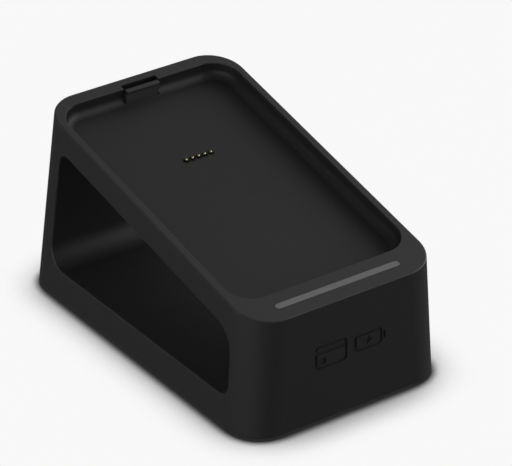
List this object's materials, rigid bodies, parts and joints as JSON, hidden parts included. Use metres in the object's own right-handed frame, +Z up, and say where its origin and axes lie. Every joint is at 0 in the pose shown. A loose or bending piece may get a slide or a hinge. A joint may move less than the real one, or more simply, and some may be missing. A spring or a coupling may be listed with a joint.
{
  "type": "card reader charging dock",
  "caption": "Wedge-shaped counter dock that charges a pocket card reader: sloping recess, spring contacts, sprung latch, light bar, tunnel under the slope.",
  "frame": {"origin": "centre of the footprint, on the table under the rubber pad", "axes": "+Z up, +Y towards the high back, -Y towards the front with the light bar, +X to the right seen from the front"},
  "size_m": [0.081, 0.1378, 0.0718],
  "materials": {
    "housing_plastic": "fine matte moulded texture, charcoal",
    "liner_plastic": "fine matte moulded texture, charcoal",
    "cover_plastic": "fine matte moulded texture, charcoal",
    "latch_plastic": "satin moulded, charcoal",
    "bracket_plastic": "satin moulded, glass filled",
    "insulator_plastic": "smooth moulded",
    "connector_plastic": "smooth moulded",
    "shield_plastic": "smooth, light",
    "light_guide_plastic": "frosted translucent grey",
    "pad_rubber": "matte, fine cross ribs",
    "circuit_board": "solder mask with tracks",
    "chip_plastic": "matte moulded package",
    "inductor_ferrite": "grainy pressed powder",
    "capacitor_ceramic": "glazed ceramic with tinned ends",
    "led_resin": "clear resin over phosphor",
    "flex_film": "film with parallel tracks",
    "contact_gold": "gold plated, polished",
    "barrel_nickel": "black nickel plated",
    "socket_steel": "plated sheet",
    "ballast_steel": "zinc plated, ground",
    "screw_steel": "zinc plated",
    "pin_steel": "drawn and polished",
    "spring_steel": "drawn spring wire"
  },
  "bodies": {
    "housing": {"outer_housing": "housing_plastic", "tunnel_liner": "liner_plastic", "bottom_cover": "cover_plastic", "rubber_foot_pad": "pad_rubber", "cover_screws": "screw_steel", "ballast_plate": "ballast_steel", "ballast_screws": "screw_steel", "main_board": "circuit_board", "main_board_screws": "screw_steel", "charging_chip": "chip_plastic", "power_inductor": "inductor_ferrite", "capacitors": "capacitor_ceramic", "main_board_connectors": "connector_plastic", "usb_socket_shell": "socket_steel", "usb_socket_tongue": "connector_plastic", "contact_block": "insulator_plastic", "contact_barrels": "barrel_nickel", "contact_board": "circuit_board", "contact_board_connector": "connector_plastic", "contact_cable": "flex_film", "light_guide": "light_guide_plastic", "light_shield": "shield_plastic", "light_board": "circuit_board", "status_leds": "led_resin", "light_board_screws": "screw_steel", "light_board_connector": "connector_plastic", "light_cable": "flex_film", "latch_pivot_pin": "pin_steel", "latch_bracket": "bracket_plastic", "latch_bracket_screws": "screw_steel", "latch_spring": "spring_steel", "contact_spring_1": "spring_steel", "contact_spring_2": "spring_steel", "contact_spring_3": "spring_steel", "contact_spring_4": "spring_steel", "contact_spring_5": "spring_steel"},
    "latch": {"release_latch": "latch_plastic"},
    "contact_1": {"contact_plunger_1": "contact_gold"},
    "contact_2": {"contact_plunger_2": "contact_gold"},
    "contact_3": {"contact_plunger_3": "contact_gold"},
    "contact_4": {"contact_plunger_4": "contact_gold"},
    "contact_5": {"contact_plunger_5": "contact_gold"}
  },
  "joints": [
    {"name": "latch_pivot", "type": "hinge", "parent": "housing", "child": "latch", "pos_m": [0, 0.05643, 0.05646], "axis": [-1, 0, 0], "range_deg": [0, 6.4], "stiffness_Nm_per_rad": 0.0005, "springref_deg": -4.58, "deforming": ["latch_spring"]},
    {"name": "contact_1_travel", "type": "slide", "parent": "housing", "child": "contact_1", "axis": [0, 0.2146, -0.9767], "range_m": [0, 0.0007], "stiffness_N_per_m": 1, "springref_m": -0.0015, "deforming": ["contact_spring_1"]},
    {"name": "contact_2_travel", "type": "slide", "parent": "housing", "child": "contact_2", "axis": [0, 0.2146, -0.9767], "range_m": [0, 0.0007], "stiffness_N_per_m": 1, "springref_m": -0.0015, "deforming": ["contact_spring_2"]},
    {"name": "contact_3_travel", "type": "slide", "parent": "housing", "child": "contact_3", "axis": [0, 0.2146, -0.9767], "range_m": [0, 0.0007], "stiffness_N_per_m": 1, "springref_m": -0.0015, "deforming": ["contact_spring_3"]},
    {"name": "contact_4_travel", "type": "slide", "parent": "housing", "child": "contact_4", "axis": [0, 0.2146, -0.9767], "range_m": [0, 0.0007], "stiffness_N_per_m": 1, "springref_m": -0.0015, "deforming": ["contact_spring_4"]},
    {"name": "contact_5_travel", "type": "slide", "parent": "housing", "child": "contact_5", "axis": [0, 0.2146, -0.9767], "range_m": [0, 0.0007], "stiffness_N_per_m": 1, "springref_m": -0.0015, "deforming": ["contact_spring_5"]}
  ]
}
